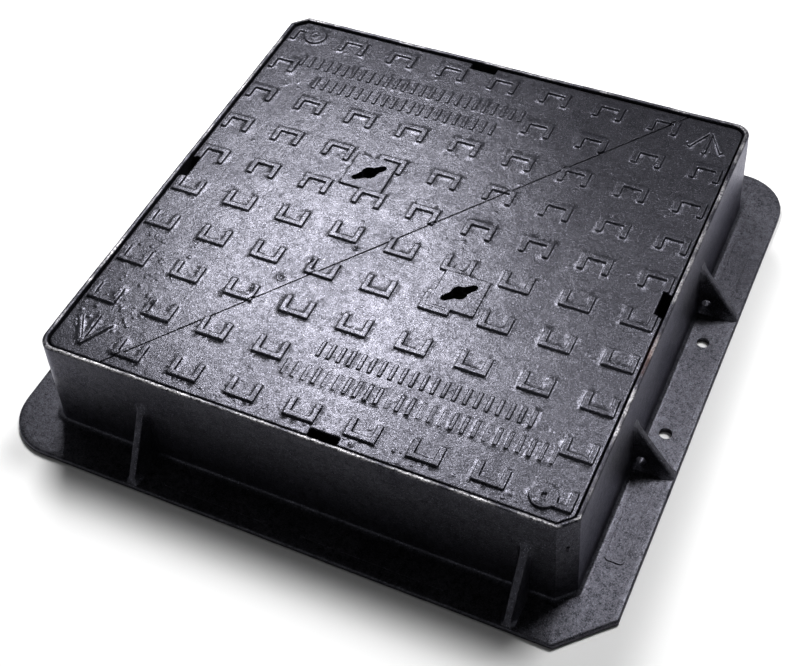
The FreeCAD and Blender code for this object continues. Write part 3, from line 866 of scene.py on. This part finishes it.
def frame_webs():
    """Every outer gusset and ledge bracket, as one mesh of closed pieces that don't touch."""
    pieces = []
    side, faces = gusset(SIDE_GUSSET_TOP, True)
    for y in (-SIDE_GUSSET_Y, SIDE_GUSSET_Y):
        pieces.append((np.column_stack([side[:, 0], side[:, 2] + y, side[:, 1]]), faces))
    end, faces = gusset(END_GUSSET_TOP, False)
    for x in END_GUSSETS_X:
        pieces.append((np.column_stack([end[:, 2] + x, -end[:, 0], end[:, 1]]), faces))
    inner, wall, under = CLEAR_HALF + 4, SHAFT_HALF + 2, LEDGE_TOP - LEDGE_THICK
    corners = [(inner, under - 8), (wall, under - BRACKET_DEPTH), (wall, under + 2), (inner, under + 2)]
    flares = [(((SHAFT_HALF, 0.0), (SHAFT_HALF, 100.0)), 4.0), (((inner, under), (wall, under)), 4.0)]
    bracket, faces = web(corners, BRACKET_THICK, flares, (corners[:2], 2.5))
    for x in BACK_BRACKETS_X:
        pieces.append((np.column_stack([bracket[:, 2] + x, bracket[:, 0], bracket[:, 1]]), faces))
    for y in SIDE_BRACKETS_Y:
        pieces.append((np.column_stack([bracket[:, 0], bracket[:, 2] + y, bracket[:, 1]]), faces))
    return pieces


def raised_block(outline, low, high, radius, soft):
    """A low block with rounded upright corners and a soft top edge."""
    radii = [radius] * len(outline)
    rows = ((0.0, low), (0.0, high - soft), (-0.3 * soft, high - 0.3 * soft), (-soft, high))
    points, faces = [], []
    for out, z in rows:
        ring = offset_outline(outline, radii, out, 6)
        points += [(x, y, z) for x, y in ring]
    count = len(ring)
    for level in range(len(rows) - 1):
        faces += band(level * count, (level + 1) * count, count)
    faces.append(tuple(range(count))[::-1])
    faces.append(tuple(range((len(rows) - 1) * count, len(rows) * count)))
    return np.array(points), faces


def frame_blocks():
    """The low pads on the flange and the seats on the ledge."""
    pads = [rectangle((SIDE_PAD_X, SIDE_PAD_X + PAD_WIDTH), y) for y in SIDE_PADS_Y]
    pads += [rectangle(x, (-END_PAD_Y - PAD_WIDTH, -END_PAD_Y)) for x in END_PADS_X]
    pieces = [raised_block(pad, FLANGE_THICK - 3, FLANGE_THICK + PAD_HEIGHT, PAD_ROUND, PAD_SOFT_EDGE)
              for pad in pads]
    for x, y in SEAT_PLACES:
        seat = rectangle((x[0] - 3, x[1] + 3), (y[0] - 3, y[1] + 3))
        pieces.append(raised_block(seat, LEDGE_TOP - 4, SEAT_TOP, 1.5, 0.8))
    return pieces


def joined(name, pieces):
    """One object from closed pieces and their half turns."""
    points, faces, count = [], [], 0
    for some_points, some_faces in pieces:
        for turn in (1, -1):
            points.append(some_points * np.array([turn, turn, 1]))
            faces += [tuple(np.array(f) + count) for f in some_faces]
            count += len(some_points)
    return new_mesh(name, np.vstack(points), faces, FRAME_SHARP)


def cylinder(start, end, radius, count=48):
    """A closed round bar, as points and faces in millimetres."""
    start, end = Vector(start), Vector(end)
    turn = (end - start).to_track_quat("Z", "Y").to_matrix()
    points = []
    for middle in (start, end):
        for x, y in circle_outline((0, 0), radius, count):
            points.append(tuple(middle + turn @ Vector((x, y, 0))))
    faces = band(0, count, count) + [tuple(range(count))[::-1], tuple(range(count, 2 * count))]
    return np.array(points), faces


def bolt_hole():
    """The clearance hole of one coupling bolt, right through both spines."""
    ends = [at_split(BOLT_ALONG, across) for across in (-SPINE_THICK - 8, SPINE_THICK + 8)]
    return cylinder((*ends[0], BOLT_HEIGHT), (*ends[1], BOLT_HEIGHT), BOLT_HOLE_RADIUS)


def frame_mesh():
    body = ring_body()
    combine(body, joined("webs", frame_webs() + frame_blocks()), "UNION")
    holes = [cylinder((ANCHOR_X, y, -2), (ANCHOR_X, y, 14), ANCHOR_RADIUS) for y in (-ANCHOR_Y, ANCHOR_Y)]
    combine(body, joined("holes", holes), "DIFFERENCE")
    body.data.set_sharp_from_angle(angle=math.radians(FRAME_SHARP))
    return body


# ---- Materials
# Near-black, used both for random pits in the paint and for painted shade.
PIT_AND_SHADE_COLOUR = (0.004, 0.004, 0.005, 1)
DUST_COLOUR = (0.052, 0.052, 0.061, 1)
RUST_COLOUR = (0.075, 0.032, 0.016, 1)
FLECK_COLOUR = (0.10, 0.10, 0.12, 1)
BARE_IRON = (0.38, 0.37, 0.38, 1)

def fill_in(node, **numbers):
    """Sets a node's inputs by their names."""
    for name, number in numbers.items():
        node.inputs[name.replace("_", " ").title()].default_value = number

class Tree:
    """A short way to write a material's nodes."""

    def __init__(self, name):
        self.material = bpy.data.materials.new(name)
        self.material.use_nodes = True
        self.nodes = self.material.node_tree.nodes
        self.links = self.material.node_tree.links
        self.shader = self.nodes["Principled BSDF"]
        self.place = self.nodes.new("ShaderNodeTexCoord").outputs["Object"]

    def connect(self, value, socket):
        if isinstance(value, bpy.types.NodeSocket):
            self.links.new(value, socket)
        else:
            socket.default_value = value

    def noise(self, size, detail=3.0, roughness=0.5, distortion=0.0):
        """Noise from 0 to 1 with features of this size in millimetres."""
        node = self.nodes.new("ShaderNodeTexNoise")
        self.links.new(self.place, node.inputs["Vector"])
        fill_in(node, scale=1 / (size * MM), detail=detail, roughness=roughness, distortion=distortion)
        return node.outputs["Fac"]

    def remap(self, value, low, high, to_low=0.0, to_high=1.0):
        node = self.nodes.new("ShaderNodeMapRange")
        self.connect(value, node.inputs["Value"])
        fill_in(node, from_min=low, from_max=high, to_min=to_low, to_max=to_high)
        return node.outputs["Result"]

    def math(self, operation, a, b, clamp=False):
        node = self.nodes.new("ShaderNodeMath")
        node.operation, node.use_clamp = operation, clamp
        self.connect(a, node.inputs[0])
        self.connect(b, node.inputs[1])
        return node.outputs[0]

    def mix(self, share, a, b):
        node = self.nodes.new("ShaderNodeMix")
        node.data_type = "RGBA"
        self.connect(share, node.inputs["Factor"])
        self.connect(a, node.inputs["A"])
        self.connect(b, node.inputs["B"])
        return node.outputs["Result"]

    def attribute(self, name):
        node = self.nodes.new("ShaderNodeAttribute")
        node.attribute_name = name
        return node.outputs["Fac"]

    def bump(self, height, depth, normal=None):
        """Bumps of the given depth in millimetres."""
        node = self.nodes.new("ShaderNodeBump")
        node.inputs["Distance"].default_value = depth * MM
        self.links.new(height, node.inputs["Height"])
        if normal is not None:
            self.links.new(normal, node.inputs["Normal"])
        return node.outputs["Normal"]

    def finish(self, **inputs):
        for name, value in inputs.items():
            self.connect(value, self.shader.inputs[name.replace("_", " ").title().replace("Ior", "IOR")])
        return self.material


def bitumen(name, shine, gloss, tint):
    """Thick black bitumen paint on cast iron, with bare metal and a little rust where it has worn."""
    tree = Tree(name)
    smoke = tree.noise(130.0, 4.0, 0.55, 0.6)
    blotch = tree.noise(22.0, 4.0, 0.6, 0.3)
    grain = tree.noise(3.2, 4.0, 0.65)
    speck = tree.noise(1.3, 2.0, 0.6)
    wear = tree.attribute("wear")
    rust = tree.attribute("rust")
    bare = tree.math("MULTIPLY", wear, tree.remap(tree.noise(3.0, 3.0, 0.7), 0.4, 0.56))
    rusty = tree.math("MULTIPLY", rust, tree.remap(blotch, 0.35, 0.6))
    light_tint = tuple(1.5 * part for part in tint)
    paint = tree.mix(tree.remap(blotch, 0.3, 0.7), (*tint, 1), (*light_tint, 1))
    paint = tree.mix(tree.math("MULTIPLY", tree.attribute("dust"), 0.8), paint, DUST_COLOUR)
    mottle = tree.math("ADD", tree.math("MULTIPLY", tree.noise(2.2, 3.0, 0.75), 0.6),
                       tree.math("MULTIPLY", tree.noise(8.0, 3.0, 0.6, 0.5), 0.4))
    # Random dark pits in the paint, plus painted shade read from the mesh attribute: both turn the paint near
    # black and cut its reflection.
    undarkened = tree.math("MULTIPLY", tree.remap(mottle, 0.36, 0.60), tree.remap(smoke, 0.34, 0.56, 0.6, 1.0))
    undarkened = tree.math("MULTIPLY", undarkened, tree.math("SUBTRACT", 1.0, tree.attribute("pits_and_painted_shade")))
    pits_and_painted_shade = tree.math("SUBTRACT", 1.0, undarkened)
    paint = tree.mix(pits_and_painted_shade, paint, PIT_AND_SHADE_COLOUR)
    paint = tree.mix(rusty, paint, RUST_COLOUR)
    flecks = tree.remap(tree.noise(1.6, 2.0, 0.6), 0.60, 0.66, 0.0, 0.9)
    paint = tree.mix(flecks, paint, FLECK_COLOUR)
    colour = tree.mix(bare, paint, BARE_IRON)
    metallic = tree.math("MAXIMUM", tree.math("MAXIMUM", bare, flecks), tree.math("MULTIPLY", pits_and_painted_shade, 0.9))
    dull = tree.math("MULTIPLY", pits_and_painted_shade, 0.12)
    roughness = tree.math("ADD", tree.math("ADD", dull, shine), tree.math("MULTIPLY", rusty, 0.3), True)
    normal = tree.bump(blotch, 0.4)
    normal = tree.bump(grain, 0.2, normal)
    normal = tree.bump(speck, 0.17, normal)
    return tree.finish(base_color=colour, roughness=roughness, metallic=metallic, normal=normal,
                       specular_ior_level=gloss, specular_tint=(0.84, 0.83, 1.0, 1))


def zinc():
    """Dull zinc plating, spangled and slightly stained."""
    tree = Tree("zinc")
    cloud, fine = tree.noise(4.0, 4.0, 0.6), tree.noise(0.5, 2.0)
    colour = tree.mix(cloud, (0.46, 0.47, 0.46, 1), (0.63, 0.62, 0.58, 1))
    return tree.finish(base_color=colour, roughness=tree.remap(cloud, 0.3, 0.7, 0.28, 0.48), metallic=1.0,
                       normal=tree.bump(fine, 0.02))


def nylon():
    tree = Tree("nylon")
    cloud = tree.noise(2.0, 3.0)
    colour = tree.mix(cloud, (0.70, 0.74, 0.76, 1), (0.80, 0.80, 0.76, 1))
    return tree.finish(base_color=colour, roughness=tree.remap(cloud, 0.3, 0.7, 0.38, 0.55),
                       subsurface_weight=0.2, normal=tree.bump(cloud, 0.03))


def paint_attribute(piece, name, values):
    """Writes one number per vertex, from 0 to 1, for a material to read."""
    layer = piece.data.attributes.new(name, "FLOAT", "POINT")
    layer.data.foreach_set("value", np.clip(values, 0, 1).astype(np.float32))


def mesh_points(piece):
    points = np.empty(len(piece.data.vertices) * 3)
    piece.data.vertices.foreach_get("co", points)
    return points.reshape(-1, 3) / MM


def patch(points, middle, reach):
    """1 at the middle of a soft round patch, falling to 0 at its reach."""
    return np.clip(1.3 - np.sqrt((((points - np.array(middle)) / np.array(reach)) ** 2).sum(1)), 0, 1)


# ---- Putting it together
frame_paint = bitumen("bitumen_frame", 0.30, 0.36, (0.011, 0.011, 0.014))
leaf_paint = bitumen("bitumen_leaf", 0.22, 0.5, (0.013, 0.013, 0.016))

casting = frame_mesh()
places = mesh_points(casting)
x, y, z = places.T
rim_top = np.clip((z - 148.9) / 0.8, 0, 1)
rubbed = waves(places, 45.0, 71) + 0.5 * waves(places, 14.0, 72)
towards_front = np.clip((-y - 338) / 3, 0, 1)
paint_attribute(casting, "wear", rim_top * np.clip(rubbed * 0.9 + 0.05 + 0.5 * towards_front, 0, 1))
# Painted shade: the top of the rim darkens towards the right side, which dims its reflection.
paint_attribute(casting, "pits_and_painted_shade", 0.6 * rim_top * np.clip((x - 330) / 5, 0, 1))
paint_attribute(casting, "rust", patch(places, (341, -80, 135), (14, 34, 22)) * (x < 344))
out_from_wall = np.abs(places[:, :2]).max(1) - 351
paint_attribute(casting, "dust", (z < 14) * (z > 2) * out_from_wall / 4)
casting.data.materials.clear()
casting.data.materials.append(frame_paint)
flat = casting.modifiers.new("flat", "WEIGHTED_NORMAL")
flat.keep_sharp = True
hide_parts("frame_casting")
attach(casting, "frame")

flaws = Flaws()
flaws.scatter((-330, -245), (-300, -120), 110, (1.2, 3.6), 0.9, 5)
flaws.scatter((-330, 330), (-330, 330), 160, (1.2, 4.0), 0.5, 6)
for at, radius in (((-120, -133), 5.5), ((-55, -54), 3.4), ((-143, -166), 3.0), ((-96, -95), 2.4)):
    flaws.spot(at, radius * 1.15, 0.9, True)
quiet = Flaws()
quiet.scatter((-330, 330), (-330, 330), 160, (1.2, 4.0), 0.5, 7)
quiet.scatter((-300, 150), (315, 334), 26, (2.0, 5.0), 1.0, 8)
fresh, worn = half_pattern(False), half_pattern(True)
leaves = (("rear_left_leaf", fresh + [shape.half_turned() for shape in worn], flaws, 31, False),
          ("front_right_leaf", worn + [shape.half_turned() for shape in fresh], quiet, 47, True))
for node, shapes, some_flaws, seed, turned in leaves:
    piece = leaf_mesh(node + "_visual", shapes, some_flaws, seed, turned)
    combine(piece, joined(node + "_bolt_holes", [bolt_hole()]), "DIFFERENCE")
    piece.data.materials.clear()
    places = mesh_points(piece)
    x, y, z = places.T
    paint_attribute(piece, "wear", np.zeros(len(places)))
    # Painted shade: the road side darkens towards the back right, where the key light's sheen falls off.
    back_right = (0.5 * x + 0.87 * y - 120 + 60 * waves(places, 110.0, 81)) / 220
    paint_attribute(piece, "pits_and_painted_shade", 0.4 * np.clip(back_right, 0, 1))
    paint_attribute(piece, "rust", patch(places, (332, -75, 135), (12, 30, 25)) * (z < 146))
    piece.data.materials.append(leaf_paint)
    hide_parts(node)
    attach(piece, node)

zinc_plate, white_nylon = zinc(), nylon()
for node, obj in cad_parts.items():
    if node.startswith(("coupling_bolt", "head_washer", "nut_washer", "lock_nut")):
        finish = white_nylon if "insert" in node else zinc_plate
        obj.data.materials.clear()
        obj.data.materials.append(finish)

# ---- Floor, lights and camera
FLOOR_HALF = 9.0           # metres, like everything from here on

def plain_floor():
    """A pale floor. It glows a little far from the part, so that it stays pale to its edge."""
    mesh = bpy.data.meshes.new("floor")
    corners = rectangle((-FLOOR_HALF, FLOOR_HALF), (-FLOOR_HALF, FLOOR_HALF))
    mesh.from_pydata([(x, y, 0) for x, y in corners], [], [(0, 1, 2, 3)])
    floor = placed("floor", mesh)
    tree = Tree("pale_floor")
    away = tree.nodes.new("ShaderNodeVectorMath")
    away.operation = "LENGTH"
    tree.links.new(tree.place, away.inputs[0])
    far = tree.remap(away.outputs["Value"], 1.0, 4.5, 0.0, 0.85)
    floor.data.materials.append(tree.finish(base_color=(0.8, 0.8, 0.8, 1), roughness=0.9,
                                            emission_color=(1, 1, 1, 1), emission_strength=far))


def softbox(name, at, towards, size, radiance, glossy=True):
    """A square studio light with sides of this length, which shines at a point."""
    data = bpy.data.lights.new(name, "AREA")
    data.shape, data.size, data.size_y = "RECTANGLE", size, size
    data.energy = radiance * math.pi * size * size
    light = placed(name, data)
    light.location = at
    light.rotation_euler = (Vector(towards) - Vector(at)).to_track_quat("-Z", "Y").to_euler()
    light.visible_glossy = glossy


CAMERA_AT = Vector((0.5612, -1.0981, 1.4126))
CAMERA_TARGET = Vector((0.0269, -0.1058, 0.075))
CAMERA_ROLL = math.radians(-4.66)
FOCAL_LENGTH = 62.11
SENSOR_WIDTH = 36.0
SHEEN_SPOT = Vector((-0.03, -0.16, 0.147))
SHEEN_AWAY = 2.1


def camera():
    data = bpy.data.cameras.new("camera")
    data.lens, data.sensor_width, data.sensor_fit = FOCAL_LENGTH, SENSOR_WIDTH, "HORIZONTAL"
    data.clip_start, data.clip_end = 0.05, 60.0
    view = placed("camera", data)
    aim = (CAMERA_TARGET - CAMERA_AT).to_track_quat("-Z", "Y").to_matrix()
    view.matrix_world = (Matrix.Translation(CAMERA_AT)
                         @ (aim @ Matrix.Rotation(CAMERA_ROLL, 3, "Z")).to_4x4())
    bpy.context.scene.camera = view


def lighting():
    """A softbox that the road side mirrors to the camera, a top light, and a fill that no paint mirrors."""
    seen_from = (CAMERA_AT - SHEEN_SPOT).normalized()
    mirrored = Vector((-seen_from.x, -seen_from.y, seen_from.z))
    softbox("key", SHEEN_SPOT + mirrored * SHEEN_AWAY, SHEEN_SPOT, 0.66, 42.0)
    softbox("top", (0.79, 1.62, 3.1), (0, 0, 0), 1.0, 37.0)
    softbox("fill", (0.0, 0.0, 4.0), (0, 0, 0), 4.0, 0.35, glossy=False)
    bpy.context.scene.view_settings.view_transform = "Standard"


def studio_world():
    """A pale backdrop that fades to a dark ceiling, and is seen and mirrored but lights nothing matt."""
    world = bpy.data.worlds.new("studio")
    world.use_nodes = True
    nodes, links = world.node_tree.nodes, world.node_tree.links
    direction, split = nodes.new("ShaderNodeTexCoord"), nodes.new("ShaderNodeSeparateXYZ")
    fade = nodes.new("ShaderNodeMapRange")
    fade.interpolation_type = "SMOOTHSTEP"
    fill_in(fade, from_min=0.1, from_max=0.6, to_min=0.9, to_max=0.04)
    links.new(direction.outputs["Generated"], split.inputs[0])
    links.new(split.outputs["Z"], fade.inputs["Value"])
    links.new(fade.outputs["Result"], nodes["Background"].inputs["Strength"])
    nodes["Background"].inputs["Color"].default_value = (0.95, 0.97, 1.0, 1)
    world.cycles_visibility.diffuse = False
    bpy.context.scene.world = world


plain_floor()
camera()
lighting()
studio_world()
